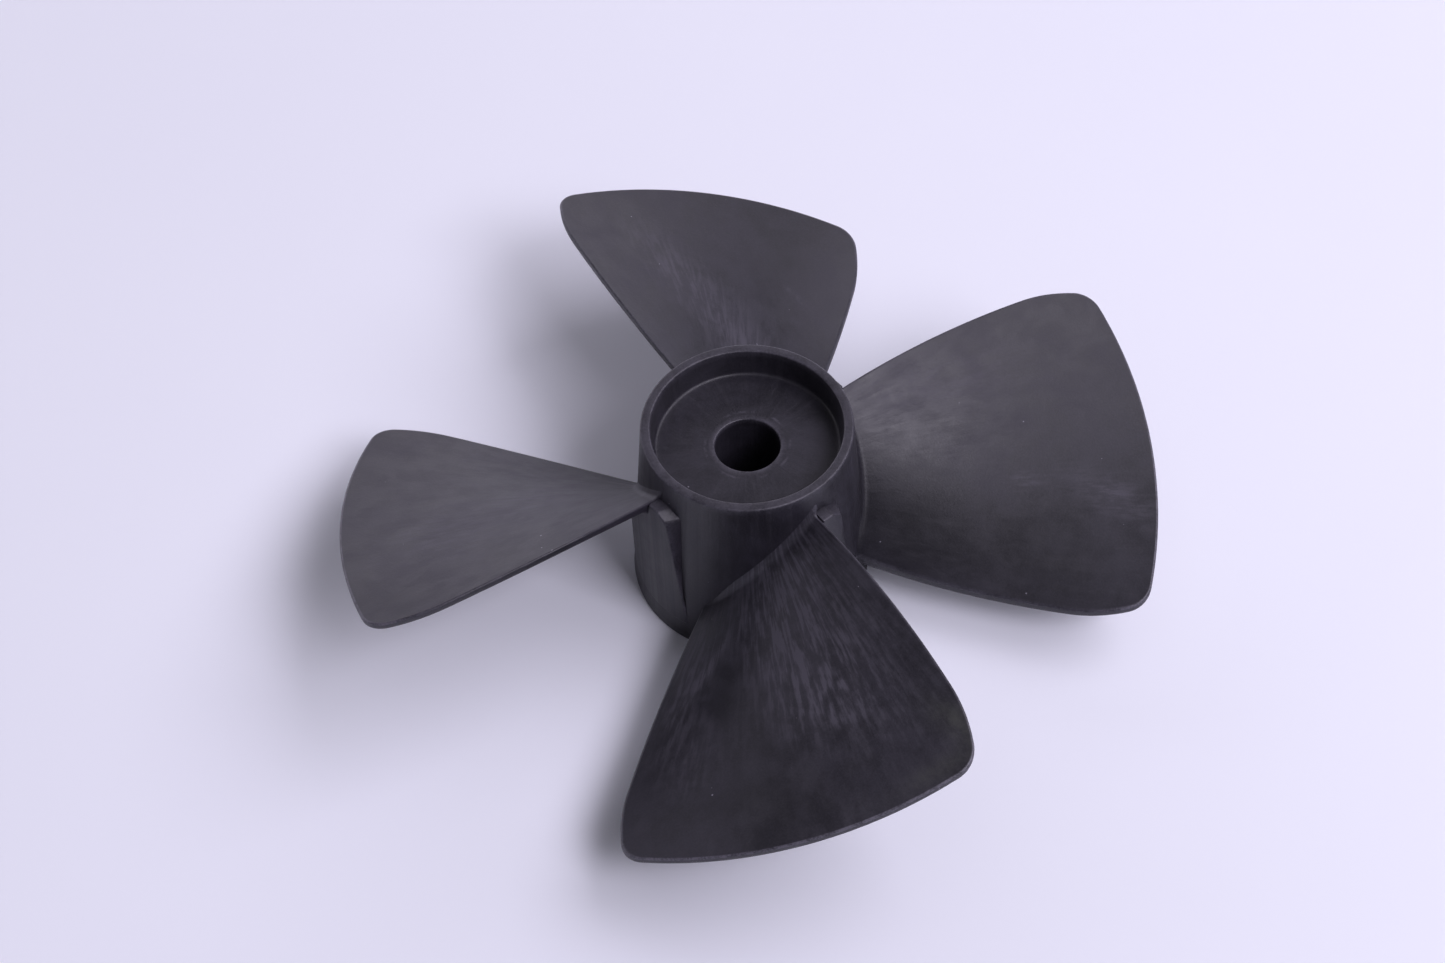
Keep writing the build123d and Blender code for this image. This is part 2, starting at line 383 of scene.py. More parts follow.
def lathe(outline):
    """Points and quads of a closed outline turned about the shaft axis."""
    turn = np.linspace(0, 2 * pi, LATHE_STEPS, endpoint=False)
    radius, height = outline[:, 0], outline[:, 1]
    x = np.outer(radius, np.cos(turn))
    y = np.outer(radius, np.sin(turn))
    z = np.outer(height, np.ones(LATHE_STEPS))
    index = np.arange(z.size).reshape(z.shape)
    loops = zip(index, np.roll(index, -1, axis=0))
    faces = np.concatenate([ring_faces(first, second)[:, ::-1] for first, second in loops])
    return np.stack([x, y, z], axis=-1).reshape(-1, 3), faces


def corner_wear(outline, corners, reach):
    """How worn each outline point is: 1 at the named corners, 0 beyond reach."""
    gap = np.full(len(outline), reach)
    for corner in corners:
        gap = np.minimum(gap, np.hypot(*(outline - np.array(corner)).T))
    return 1 - smoothstep(FULL_WEAR_SHARE * reach, reach, gap)


def turned_piece(name, outline, nodes, worn_corners=(), reach=1.0):
    """A lathe piece whose named corners are worn."""
    points, faces = lathe(outline)
    wear = np.repeat(corner_wear(outline, worn_corners, reach), LATHE_STEPS) * LATHE_WEAR
    return make_piece(name, points, faces, nodes, {"wear": wear})


def hub_barrel():
    """The barrel, with the recess's and the core's filleted corners, which run in over the web."""
    corners = [
        (BASE_RADIUS, 0),
        (RIM_RADIUS, HUB_HEIGHT),
        (RIM_INNER_RADIUS, HUB_HEIGHT),
        (FLOOR_RADIUS, FLOOR_HEIGHT),
        (FLOOR_RADIUS - SEAM_FLANGE, FLOOR_HEIGHT),
        (FLOOR_RADIUS - SEAM_FLANGE, WEB_UNDERSIDE),
        (FLOOR_RADIUS, WEB_UNDERSIDE),
        (BASE_RADIUS - BASE_WALL, 0),
    ]
    rounds = [BASE_ROUND, RIM_OUTER_ROUND, RIM_INNER_ROUND, FLOOR_FILLET, 0, 0, CORE_FILLET, BASE_ROUND]
    outline = subdivided(rounded(corners, rounds), BARREL_STEP)
    worn = [corners[0], corners[1], corners[2], corners[-1]]
    return turned_piece("hub_barrel_shell", outline, ["hub_barrel"], worn, BARREL_WEAR_REACH)


def hub_web():
    """The recess's flat floor, between the barrel's and the boss's corners."""
    inner = BOSS_TOP_RADIUS + SEAM_FLANGE
    outer = FLOOR_RADIUS - SEAM_FLANGE
    corners = [(inner, WEB_UNDERSIDE), (outer, WEB_UNDERSIDE), (outer, FLOOR_HEIGHT), (inner, FLOOR_HEIGHT)]
    outline = subdivided(np.array(corners), FLOOR_STEP)
    return turned_piece("recess_floor", outline, ["hub_web"])


def shaft_boss():
    """The tube round the bore, with a rounded lip and the drive pin's slot."""
    corners = [
        (BORE_RADIUS, BOSS_END),
        (BOSS_END_RADIUS, BOSS_END),
        (boss_radius(WEB_UNDERSIDE), WEB_UNDERSIDE),
        (BOSS_TOP_RADIUS + SEAM_FLANGE, WEB_UNDERSIDE),
        (BOSS_TOP_RADIUS + SEAM_FLANGE, FLOOR_HEIGHT),
        (BORE_RADIUS, FLOOR_HEIGHT),
    ]
    rounds = [BOSS_ROUND, BOSS_ROUND, CORE_FILLET, 0, 0, BORE_LIP_ROUND]
    outline = subdivided(rounded(corners, rounds), BOSS_STEP)
    boss = turned_piece("boss_tube", outline, ["shaft_boss"], [corners[-1], corners[0]], BOSS_WEAR_REACH)
    cut_slot(boss)
    return boss


def cut_slot(boss):
    """Cuts the drive pin's slot across the boss's lower end, with rounded inner corners."""
    bpy.ops.mesh.primitive_cube_add(size=1, location=(0, 0, BOSS_END * MM))
    cutter = bpy.context.object
    cutter.scale = Vector((3 * BOSS_END_RADIUS, PIN_SLOT_WIDTH, 2 * PIN_SLOT_DEPTH)) * MM
    bpy.ops.object.transform_apply(location=False, rotation=False, scale=True)
    bevel = cutter.modifiers.new("round", "BEVEL")
    bevel.width = PIN_SLOT_ROUND * MM
    bevel.segments = PIN_SLOT_ROUND_STEPS
    cut = boss.modifiers.new("slot", "BOOLEAN")
    cut.operation = "DIFFERENCE"
    cut.solver = "EXACT"
    cut.object = cutter
    bpy.context.view_layer.objects.active = boss
    bpy.ops.object.modifier_apply(modifier=cut.name)
    bpy.data.objects.remove(cutter)
    boss.data.polygons.foreach_set("use_smooth", [True] * len(boss.data.polygons))
    boss.data.set_sharp_from_angle(angle=radians(SHARP_ANGLE))


def rib_profile():
    """(across, height) points down one face of a rib, round its free edge and up the other."""
    half = RIB_THICKNESS / 2
    top = WEB_UNDERSIDE + SEAM_FLANGE / 4
    side = [(half, z) for z in np.linspace(top, RIB_END + RIB_ROUND, RIB_PROFILE_POINTS)]
    for turn in np.linspace(0, pi / 2, ROUND_STEPS)[1:]:
        side.append((half - RIB_ROUND * (1 - cos(turn)), RIB_END + RIB_ROUND * (1 - sin(turn))))
    return np.array(side + [(-across, height) for across, height in reversed(side)])


def rib_cap(row):
    """Quads that close one end of a rib across its profile."""
    middle = len(row) // 2
    left = row[:middle]
    right = row[: middle - 1 : -1]
    return np.stack([left[:-1], left[1:], right[1:], right[:-1]], axis=-1)


def hub_rib(number):
    """A radial wall with a rounded free edge, which flares where it meets the hub and the web."""
    width, height = rib_profile().T
    steps = 0.5 - 0.5 * np.cos(np.linspace(0, pi, RIB_LENGTH_POINTS))
    inner, outer = boss_radius(height) - RIB_SUNK, core_radius(height) + RIB_SUNK
    radius = inner + (outer - inner) * steps[:, None]
    gap = np.minimum(radius - boss_radius(height), core_radius(height) - radius)
    flare = np.maximum(fillet(gap), fillet(WEB_UNDERSIDE - height))
    across = width + np.sign(width) * flare
    points = np.stack([radius, across, np.broadcast_to(height, radius.shape)], axis=-1)
    index = np.arange(radius.size).reshape(radius.shape)
    lid = np.stack([index[:-1, 0], index[:-1, -1], index[1:, -1], index[1:, 0]], axis=-1)
    faces = np.concatenate([grid_faces(index), rib_cap(index[0]), rib_cap(index[-1])[:, ::-1], lid])
    edge_wear = RIB_WEAR * (1 - smoothstep(0, RIB_WEAR_REACH, height - RIB_END))
    fields = {"wear": np.broadcast_to(edge_wear, radius.shape).ravel()}
    points = turned(points.reshape(-1, 3), RIB_FIRST_ANGLE + 360 * number / RIB_COUNT)
    return make_piece(f"rib_{number + 1}_wall", points, faces, [f"hub_rib_{number + 1}"], fields)


# ---------------------------------------------------------------- blades


def span(radius):
    """Share of the way from the rim's radius to the tip's."""
    return (radius - RIM_RADIUS) / (TIP_RADIUS - RIM_RADIUS)


def pitch(radius):
    """Rise of the blade per radian about the shaft axis."""
    return ROOT_PITCH + PITCH_RISE * span(radius) - PITCH_FALL * span(radius) ** 2


def blade_middle(plan):
    """Height of the blade's middle surface over plan points."""
    radius = np.hypot(plan[..., 0], plan[..., 1])
    turn = np.arctan2(plan[..., 1], plan[..., 0])
    return MIDDLE_HEIGHT + pitch(radius) * turn - CHORD_CAMBER * turn**2


def lean(plan):
    """Upright thickness over true thickness of the pitched blade."""
    radius = np.hypot(plan[..., 0], plan[..., 1])
    return np.sqrt(1 + (pitch(radius) / radius) ** 2)


def half_thickness(plan):
    """Half the blade's true thickness, thickest in the middle of its root."""
    radius = np.hypot(plan[..., 0], plan[..., 1])
    across = np.arctan2(plan[..., 1], plan[..., 0]) / radians(ROOT_HALF_ANGLE)
    swell = (ROOT_MIDDLE_THICKNESS - EDGE_THICKNESS) * (1 - span(radius)) * (1 - across**2)
    return (EDGE_THICKNESS + swell) / 2


def arc_points(centre, radius, first, last, count):
    """Points along an arc, and their unit normals towards its centre."""
    angles = np.linspace(first, last, count)
    out = np.stack([np.cos(angles), np.sin(angles)], axis=-1)
    return centre + radius * out, -out


def side_edge():
    """Points and inward normals of the high side edge, root to tip, and the long arc's count."""
    heading = radians(EDGE_HEADING)
    root_turn = radians(ROOT_HALF_ANGLE)
    root = OUTLINE_ROOT_RADIUS * np.array([cos(root_turn), sin(root_turn)])
    long_centre = root + EDGE_ARC_RADIUS * np.array([sin(heading), -cos(heading)])
    first = heading + pi / 2
    last = first - EDGE_ARC_LENGTH / EDGE_ARC_RADIUS
    long_points, long_normals = arc_points(long_centre, EDGE_ARC_RADIUS, first, last, EDGE_ARC_POINTS)
    shoulder_centre = long_points[-1] + (long_centre - long_points[-1]) * SHOULDER_RADIUS / EDGE_ARC_RADIUS
    gap = np.linalg.norm(shoulder_centre)
    outer, inner = TIP_RADIUS - CORNER_RADIUS, SHOULDER_RADIUS - CORNER_RADIUS
    along = (outer**2 - inner**2 + gap**2) / (2 * gap)
    ahead = shoulder_centre / gap
    corner_centre = along * ahead + sqrt(outer**2 - along**2) * np.array([-ahead[1], ahead[0]])
    to_corner = corner_centre - shoulder_centre
    bend = np.arctan2(to_corner[1], to_corner[0])
    shoulder = arc_points(shoulder_centre, SHOULDER_RADIUS, last, bend, SHOULDER_POINTS)
    tip_turn = np.arctan2(corner_centre[1], corner_centre[0])
    corner = arc_points(corner_centre, CORNER_RADIUS, bend, tip_turn, CORNER_POINTS)
    points = np.concatenate([long_points, shoulder[0][1:], corner[0][1:]])
    normals = np.concatenate([long_normals, shoulder[1][1:], corner[1][1:]])
    return points, normals, len(long_points)


def fillet(gap):
    """How far a root fillet stands off at a distance from the surface it meets."""
    inside = np.clip(gap, 0, ROOT_FILLET)
    return ROOT_FILLET - np.sqrt(ROOT_FILLET**2 - (ROOT_FILLET - inside) ** 2)


class Blade:
    """Plan layout of one blade: rows run along the chord and follow the hub at the root."""

    def __init__(self):
        self.edge, self.normal, self.long_count = side_edge()
        inset = self.edge + self.normal * EDGE_ROUND
        self.inset_radius = np.hypot(inset[:, 0], inset[:, 1])
        self.inset_turn = np.arctan2(inset[:, 1], inset[:, 0])
        crowded = CHORD_CROWDING * pi / 2
        self.across = np.sin(np.linspace(-crowded, crowded, CHORD_COLUMNS + 1)) / sin(crowded)
        turn = self.across * radians(ROOT_HALF_ANGLE)
        self.hub_line = self.hub_crossing(turn)
        self.middle_radius = float(np.interp(0, self.across, self.hub_line))
        self.rows = self.row_radii()

    def hub_crossing(self, turn):
        """Radius where the blade's middle surface meets the barrel, at angles from the centreline."""
        radius = np.full_like(turn, RIM_RADIUS)
        for _ in range(CROSSING_PASSES):
            plan = np.stack([radius * np.cos(turn), radius * np.sin(turn)], axis=-1)
            radius = hub_radius(blade_middle(plan))
        return radius

    def row_radii(self):
        """Radius of every grid point, row by row from inside the barrel to the rounded tip."""
        long_end = self.inset_radius[self.long_count - 1]
        first = self.middle_radius + ROOT_GAPS[-1] + ROW_STEP
        steps = int((long_end - first) / ROW_STEP)
        plain = np.linspace(first, long_end, steps)
        gaps = np.array(ROOT_GAPS + list(plain - self.middle_radius))
        follow = 1 - smoothstep(*FOLLOW_FADE, gaps)
        rows = gaps[:, None] + self.middle_radius + follow[:, None] * (self.hub_line - self.middle_radius)
        ends = self.inset_radius[self.long_count :]
        return np.concatenate([rows, np.repeat(ends[:, None], len(self.across), axis=1)])

    def grid(self):
        """Plan points of the face inside the rounded edge."""
        turn = np.interp(self.rows, self.inset_radius, self.inset_turn) * self.across
        tail = self.inset_turn[self.long_count :]
        turn[-len(tail) :] = tail[:, None] * self.across
        return np.stack([self.rows * np.cos(turn), self.rows * np.sin(turn)], axis=-1)

    def loops(self):
        """Plan points and inward normals of the blade's outline, in step with border() of the grid."""
        places = np.arange(len(self.edge))
        low = np.interp(self.rows[:, 0], self.inset_radius, places)
        high = np.interp(self.rows[:, -1], self.inset_radius, places)
        tail = len(self.edge) - self.long_count
        low[-tail:] = high[-tail:] = places[self.long_count :]
        low_edge, low_normal = self.along(low, -1)
        high_edge, high_normal = self.along(high, 1)
        turn = self.inset_turn[-1] * self.across
        out = np.stack([np.cos(turn), np.sin(turn)], axis=-1)
        root = self.grid()[0]
        points = np.concatenate([low_edge[:-1], TIP_RADIUS * out[:-1], high_edge[:0:-1], root[:0:-1]])
        still = np.zeros_like(root[:0:-1])
        normals = np.concatenate([low_normal[:-1], -out[:-1], high_normal[:0:-1], still])
        return points, normals

    def along(self, places, side):
        """Edge points and normals at fractional places, on the high (1) or low (-1) side."""
        index = np.arange(len(self.edge))
        flip = np.array([1, side])
        point = np.stack([np.interp(places, index, self.edge[:, k]) for k in (0, 1)], axis=-1) * flip
        normal = np.stack([np.interp(places, index, self.normal[:, k]) for k in (0, 1)], axis=-1) * flip
        normal /= np.linalg.norm(normal, axis=-1, keepdims=True)
        radius = np.hypot(point[:, 0], point[:, 1])
        flare = fillet(radius - hub_radius(blade_middle(point))) * EDGE_FLARE[side]
        point = point - normal * flare[:, None]
        return point, normal


def blade_surface(plan, side, drop):
    """Points of the blade's upper (1) or lower (-1) face over a plan, sunk by drop at its edges."""
    radius = np.hypot(plan[..., 0], plan[..., 1])
    middle = blade_middle(plan)
    slant = lean(plan)
    rise = half_thickness(plan) * slant
    foot = hub_radius(middle + rise) if side > 0 else PAD_RADIUS
    across = np.arctan2(plan[..., 1], plan[..., 0]) / radians(ROOT_HALF_ANGLE)
    rise = rise + fillet(radius - foot) * slant * smoothstep(*FILLET_FADE, across) - drop * slant
    return np.concatenate([plan, (middle + side * rise)[..., None]], axis=-1)


def edge_profile():
    """(inset, drop) pairs round one arris, from just off the face to the edge."""
    turns = np.linspace(0, pi / 2, ROUND_STEPS)[1:]
    return [(EDGE_ROUND * (1 - sin(t)), EDGE_ROUND * (1 - cos(t))) for t in turns]


def blade_mesh(blade):
    """Points, faces and wear of one blade, with blade 1's direction along +X."""
    plan = blade.grid()
    shape = plan.shape[:2]
    outline, normals = blade.loops()
    count = shape[0] * shape[1]
    upper = np.arange(count).reshape(shape)
    lower = upper + count
    points = [blade_surface(plan, 1, 0).reshape(-1, 3), blade_surface(plan, -1, 0).reshape(-1, 3)]
    face_wear = np.zeros(count)
    face_wear[border(upper)] = FACE_BORDER_WEAR
    wear = [face_wear, face_wear]
    faces = [grid_faces(upper), grid_faces(lower, flip=True)]
    previous = border(upper)
    total = 2 * count
    profile = edge_profile()
    turns = [(1, *turn) for turn in profile] + [(-1, *turn) for turn in reversed(profile)]
    for side, inset, drop in turns:
        ring = outline + normals * inset
        points.append(blade_surface(ring, side, np.full(len(ring), drop)))
        ring_wear = UPPER_ARRIS_WEAR if side > 0 and inset > 0 else OTHER_EDGE_WEAR
        wear.append(np.full(len(ring), ring_wear))
        loop = np.arange(total, total + len(ring))
        faces.append(ring_faces(previous, loop))
        previous = loop
        total += len(ring)
    faces.append(ring_faces(previous, border(lower)))
    points = np.concatenate(points)
    radius = np.hypot(points[:, 0], points[:, 1])
    tipward = smoothstep(TIP_RADIUS - TIP_WEAR_START, TIP_RADIUS - TIP_WEAR_FULL, radius)
    wear = np.concatenate(wear) * (SIDE_EDGE_WEAR + (1 - SIDE_EDGE_WEAR) * tipward)
    return points, np.concatenate(faces), wear


def turned(points, degrees_round):
    """The points turned about the shaft axis."""
    turn = radians(degrees_round)
    matrix = np.array([[cos(turn), -sin(turn), 0], [sin(turn), cos(turn), 0], [0, 0, 1]])
    return points @ matrix.T


# ---------------------------------------------------------------- root pads


def path_points(path, count):
    """Evenly spaced (angle, height) points along a path of (angle, depth below the rim) corners."""
    corners = np.array(path, float)
    along = np.hypot(np.diff(corners[:, 0]) * radians(PAD_RADIUS), np.diff(corners[:, 1]))
    length = np.concatenate([[0], np.cumsum(along)])
    places = np.linspace(0, length[-1], count)
    angle = np.interp(places, length, corners[:, 0])
    return np.stack([angle, HUB_HEIGHT - np.interp(places, length, corners[:, 1])], axis=-1)


def softened(points, passes):
    """The open path with its corners eased and its ends kept."""
    points = points.copy()
    for _ in range(passes):
        points[1:-1] = (points[:-2] + 2 * points[1:-1] + points[2:]) / 4
    return points


def pad_sides(ledge, step):
    """The pad's left, top, right and bottom sides as (angle, height) points."""
    under, over = PAD_COLUMNS
    angles = np.linspace(-PAD_LOW_ANGLE, PAD_BLADE_ANGLE, under)
    turn = np.radians(angles)
    plan = PAD_RADIUS * np.stack([np.cos(turn), np.sin(turn)], axis=-1)
    beneath = np.stack([angles, blade_middle(plan)], axis=-1)
    top = np.concatenate([beneath, path_points(ledge, over)])
    right = softened(path_points(step, PAD_ROWS)[::-1], 1)
    foot = HUB_HEIGHT - PAD_FOOT_DEPTH
    left = np.linspace((-PAD_LOW_ANGLE, foot), (-PAD_LOW_ANGLE, top[0, 1]), PAD_ROWS)
    bottom = np.linspace((-PAD_LOW_ANGLE, foot), (right[0, 0], foot), len(top))
    return left, top, right, bottom


def side_loop(sides):
    """The closed loop of a patch's sides, in step with border() of its grid."""
    left, top, right, bottom = sides
    return np.concatenate([left[:-1], top[:-1], right[:0:-1], bottom[:0:-1]])


def patch(loop, rows, columns):
    """Fills a closed loop of side points with a grid of points."""
    left = loop[:rows]
    top = loop[rows - 1 : rows + columns - 1]
    right = loop[rows + columns - 2 : 2 * rows + columns - 2][::-1]
    bottom = np.concatenate([loop[2 * rows + columns - 3 :], loop[:1]])[::-1]
    v = np.linspace(0, 1, rows)[:, None, None]
    u = np.linspace(0, 1, columns)[None, :, None]
    ruled = (1 - v) * bottom[None] + v * top[None] + (1 - u) * left[:, None] + u * right[:, None]
    low = (1 - u) * bottom[0] + u * bottom[-1]
    high = (1 - u) * top[0] + u * top[-1]
    return ruled - (1 - v) * low - v * high


def inward(loop):
    """Inward unit normals of a clockwise (angle, height) loop, as (angle, height) steps per millimetre."""
    scale = np.array([radians(PAD_RADIUS), 1])
    flat = loop * scale
    ahead = np.roll(flat, -1, axis=0) - np.roll(flat, 1, axis=0)
    normal = np.stack([ahead[:, 1], -ahead[:, 0]], axis=-1)
    normal /= np.linalg.norm(normal, axis=-1, keepdims=True) + TINY
    return normal / scale


def on_drum(points, radius):
    """Space points from (angle, height) points at a radius."""
    turn = np.radians(points[..., 0])
    return np.stack([radius * np.cos(turn), radius * np.sin(turn), points[..., 1]], axis=-1)


def pad_mesh():
    """Points, faces and wear of one root pad, under the blade along +X."""
    outer = side_loop(pad_sides(PAD_LEDGE_OUTER, PAD_STEP_OUTER))
    inner = side_loop(pad_sides(PAD_LEDGE_INNER, PAD_STEP_INNER))
    columns = sum(PAD_COLUMNS)
    step_in = inward(outer)
    face = patch(outer + step_in * PAD_ROUND, PAD_ROWS, columns)
    back = patch(inner, PAD_ROWS, columns)
    index = np.arange(PAD_ROWS * columns).reshape(PAD_ROWS, columns)
    rings = []
    for turn in np.linspace(0, pi / 2, ROUND_STEPS)[1:]:
        ring = outer + step_in * PAD_ROUND * (1 - sin(turn))
        rings.append((ring, PAD_RADIUS - PAD_ROUND * (1 - cos(turn)), PAD_WEAR))
    rings.append((inner, hub_radius(inner[:, 1]), 0.0))
    points = [on_drum(face, PAD_RADIUS).reshape(-1, 3)]
    faces = [grid_faces(index, flip=True)]
    wear = [np.zeros(index.size)]
    previous = border(index)
    total = index.size
    for ring, radius, ring_wear in rings:
        points.append(on_drum(ring, radius))
        wear.append(np.full(len(ring), ring_wear))
        loop = np.arange(total, total + len(ring))
        faces.append(ring_faces(previous, loop)[:, ::-1])
        previous = loop
        total += len(ring)
    sunk = index + total
    points.append(on_drum(back, hub_radius(back[..., 1]) - PAD_SUNK).reshape(-1, 3))
    wear.append(np.zeros(sunk.size))
    faces.append(ring_faces(previous, border(sunk))[:, ::-1])
    faces.append(grid_faces(sunk))
    return np.concatenate(points), np.concatenate(faces), np.concatenate(wear)


def oval_mark_field(points, marks):
    """How strongly soft oval marks cover each point of blade 1, with negative marks darker; some marks are
    painted sheen and painted shade.
    """
    field = np.zeros(len(points))
    for radius, angle, along, across, heading, strength in marks:
        turn = radians(angle)
        offset = points[:, :2] - radius * np.array([cos(turn), sin(turn)])
        lie = radians(angle + heading)
        u = (offset @ np.array([cos(lie), sin(lie)])) / along
        v = (offset @ np.array([-sin(lie), cos(lie)])) / across
        field += strength * np.exp(-(u**2) - v**2)
    return field


def upper_side(points):
    """1 on the blade's upper face, 0 on its lower face."""
    return (points[:, 2] > blade_middle(points)).astype(float)


blade_points, blade_faces, blade_wear = blade_mesh(Blade())
pad_points, pad_faces, pad_wear = pad_mesh()
pieces = [hub_barrel(), hub_web(), shaft_boss()]
pieces += [hub_rib(number) for number in range(RIB_COUNT)]
for number in range(1, BLADE_COUNT + 1):
    place = 360 * (number - 1) / BLADE_COUNT
    # Blade marks, with blade 1's painted sheen and painted shade among them.
    scuff_sheen_and_shade = oval_mark_field(blade_points, SCUFFS_SHEEN_AND_SHADE[number]) * upper_side(blade_points)
    grime = oval_mark_field(blade_points, GRIME.get(number, [])) * upper_side(blade_points)
    fields = {"wear": blade_wear, "scuff_sheen_and_shade": scuff_sheen_and_shade, "grime": grime}
    skin = turned(blade_points, place)
    pieces.append(make_piece(f"blade_{number}_skin", skin, blade_faces, [f"blade_{number}"], fields))
    fields = {"wear": pad_wear}
    skin = turned(pad_points, place)
    pieces.append(make_piece(f"root_pad_{number}_skin", skin, pad_faces, [f"root_pad_{number}"], fields))

# ---------------------------------------------------------------- materials


class Graph:
    """Adds nodes to one material and links them as they are made."""

    def __init__(self, name):
        self.material = bpy.data.materials.new(name)
        self.material.use_nodes = True
        self.tree = self.material.node_tree
        self.shader = self.tree.nodes["Principled BSDF"]

    def put(self, socket, value):
        """Links a node's output to a socket, or sets a plain value on it."""
        if isinstance(value, bpy.types.NodeSocket):
            self.tree.links.new(value, socket)
        else:
            socket.default_value = value

    def add(self, kind, values, output=0, **settings):
        """Makes a node with its inputs and settings, and returns one of its outputs."""
        made = self.tree.nodes.new("ShaderNode" + kind)
        for name, value in settings.items():
            setattr(made, name, value)
        for key, value in values.items():
            self.put(made.inputs[key], value)
        return made.outputs[output]

    def math(self, operation, first, second=0.0):
        return self.add("Math", {0: first, 1: second}, operation=operation)

    def vector(self, operation, first, second):
        return self.add("VectorMath", {0: first, 1: second}, operation=operation)

    def total(self, *terms):
        """The sum of (value, weight) terms."""
        parts = [self.math("MULTIPLY", value, weight) for value, weight in terms]
        result = parts[0]
        for part in parts[1:]:
            result = self.math("ADD", result, part)
        return result

    def noise(self, place, size, detail=3.0, roughness=0.55, distortion=0.0):
        """Noise whose features are about size across, in the place's units."""
        values = {"Vector": place, "Scale": 1 / size, "Detail": detail, "Roughness": roughness}
        values["Distortion"] = distortion
        return self.add("TexNoise", values)

    def band(self, value, low, high, bottom=0.0, top=1.0):
        """Runs smoothly from bottom at low to top at high."""
        values = {"Value": value, "From Min": low, "From Max": high, "To Min": bottom, "To Max": top}
        return self.add("MapRange", values, interpolation_type="SMOOTHSTEP")

    def blend(self, factor, first, second):
        """The first colour where factor is 0 and the second where it is 1."""
        mixed = self.tree.nodes.new("ShaderNodeMix")
        mixed.data_type = "RGBA"
        for key, value in ((0, factor), (6, first), (7, second)):
            self.put(mixed.inputs[key], value)
        return mixed.outputs[2]

    def attribute(self, name):
        return self.add("Attribute", {}, output=2, attribute_name=name)


def specks(graph, place, cell, size, share):
    """Sparse round specks: a share of the cells holds one, each of its own size."""
    values = {"Vector": place, "Scale": 1 / cell}
    distance = graph.add("TexVoronoi", values)
    colour = graph.add("TexVoronoi", values, output=1)
    parts = graph.tree.nodes.new("ShaderNodeSeparateColor")
    graph.put(parts.inputs[0], colour)
    reach = graph.math("MULTIPLY", parts.outputs[1], size / cell)
    inside = graph.math("LESS_THAN", distance, reach)
    chosen = graph.math("LESS_THAN", parts.outputs[0], share)
    return graph.math("MULTIPLY", inside, chosen)


def flow_places(graph, place):
    """Coordinates that run out from the shaft axis, at a wide and at a fine spacing, and the radius."""
    flat = graph.vector("MULTIPLY", place, (1, 1, 0))
    radius = graph.add("VectorMath", {0: flat}, output=1, operation="LENGTH")
    heading = graph.add("VectorMath", {0: flat}, operation="NORMALIZE")
    along = graph.add("CombineXYZ", {"Z": graph.math("MULTIPLY", radius, FLOW_LENGTHENING)})
    wide = graph.vector("ADD", graph.vector("MULTIPLY", heading, (WIDE_FLOW,) * 3), along)
    fine = graph.vector("ADD", graph.vector("MULTIPLY", heading, (FINE_FLOW,) * 3), along)
    return wide, fine, radius


def plastic_noises(graph, place, wide, fine):
    """The plastic's patterns: broad and small patches, streaks and threads of flow, and grain."""
    return {
        "cloud": graph.noise(place, CLOUD_SIZE, 4.0, 0.6, 0.6),
        "mottle": graph.noise(place, MOTTLE_SIZE, 5.0, 0.65, 0.3),
        "streak": graph.noise(wide, 1.0, 4.0, 0.6, 0.4),
        "thread": graph.noise(fine, 1.0, 3.0, 0.6),
        "grain": graph.noise(place, GRAIN_SIZE, 2.0, 0.6),
    }


def moulded_colour(graph, noise, patchy, flow):
    """The moulding's own black, mottled, streaked along the flow and finely grained."""
    base = graph.blend(graph.band(patchy, 0.55, 0.95), PLASTIC_DARK, PLASTIC_LIGHT)
    base = graph.blend(graph.band(flow, 0.50, 0.74, 0.0, 0.20), base, PLASTIC_DUST)
    return graph.blend(graph.band(noise["grain"], 0.35, 0.75, 0.0, 0.14), base, PLASTIC_DUST)


def dust_and_sheen_mask(graph, noise, scuff_sheen_and_shade):
    """How strong the scuffs and blade 1's painted sheen are, broken up by the threads and the mottling."""
    broken = graph.total((noise["mottle"], 0.55), (noise["thread"], 0.45))
    dusty = graph.band(broken, 0.38, 0.62, 0.2, 0.8)
    dust_and_sheen = graph.math("MULTIPLY", graph.math("MAXIMUM", scuff_sheen_and_shade, 0.0), dusty)
    fibre = graph.band(noise["thread"], 0.42, 0.60)
    return graph.math("MULTIPLY", dust_and_sheen, graph.math("ADD", fibre, 0.55))


def washer_mark(graph, noise, radius):
    """A faint broken line where the washer's rim sat on the recess floor."""
    gap = graph.math("ABSOLUTE", graph.math("SUBTRACT", radius, WASHER_RADIUS))
    line = graph.band(gap, *WASHER_LINE, 1.0, 0.0)
    return graph.math("MULTIPLY", line, graph.band(noise["mottle"], 0.5, 0.66, 0.0, 0.22))


def worn_arris(graph, noise):
    """The mesh's wear, chipped by the mottling and the grain."""
    chipped = graph.total((noise["mottle"], 0.6), (noise["grain"], 0.4))
    return graph.math("MULTIPLY", graph.attribute("wear"), graph.band(chipped, 0.35, 0.62, 0.15, 0.75))


